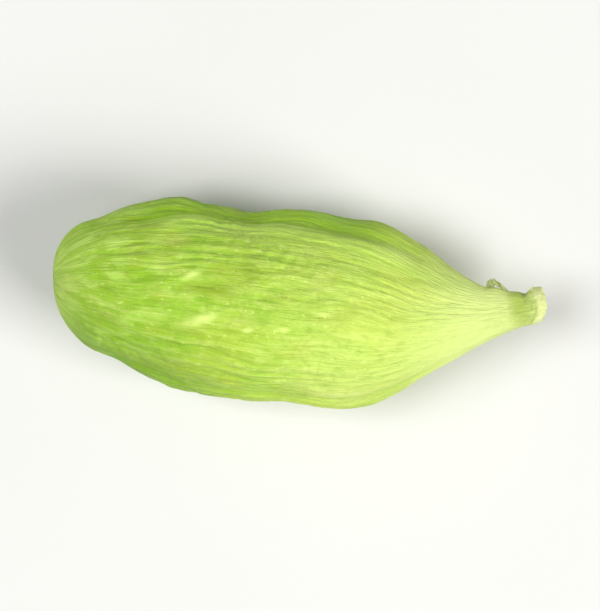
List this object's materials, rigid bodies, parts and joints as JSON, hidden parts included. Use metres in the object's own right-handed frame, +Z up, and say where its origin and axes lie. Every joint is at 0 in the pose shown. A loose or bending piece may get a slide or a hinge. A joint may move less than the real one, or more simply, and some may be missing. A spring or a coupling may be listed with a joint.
{
  "type": "green cardamom pod",
  "caption": "Dried green cardamom pod lying on its side: three-lobed ribbed husk, blunt at one end, narrowing at the other to a curved neck with a flared hollow ring.",
  "frame": {"origin": "on the surface that the pod rests on, under the middle of its bounding box", "axes": "+X along the pod from its blunt end to its neck, +Y across it towards the side that the neck curls to, +Z up"},
  "size_m": [0.02, 0.0082, 0.0074],
  "materials": {
    "dried_husk": "satin"
  },
  "bodies": {
    "root": {"pod": "dried_husk"}
  },
  "joints": []
}
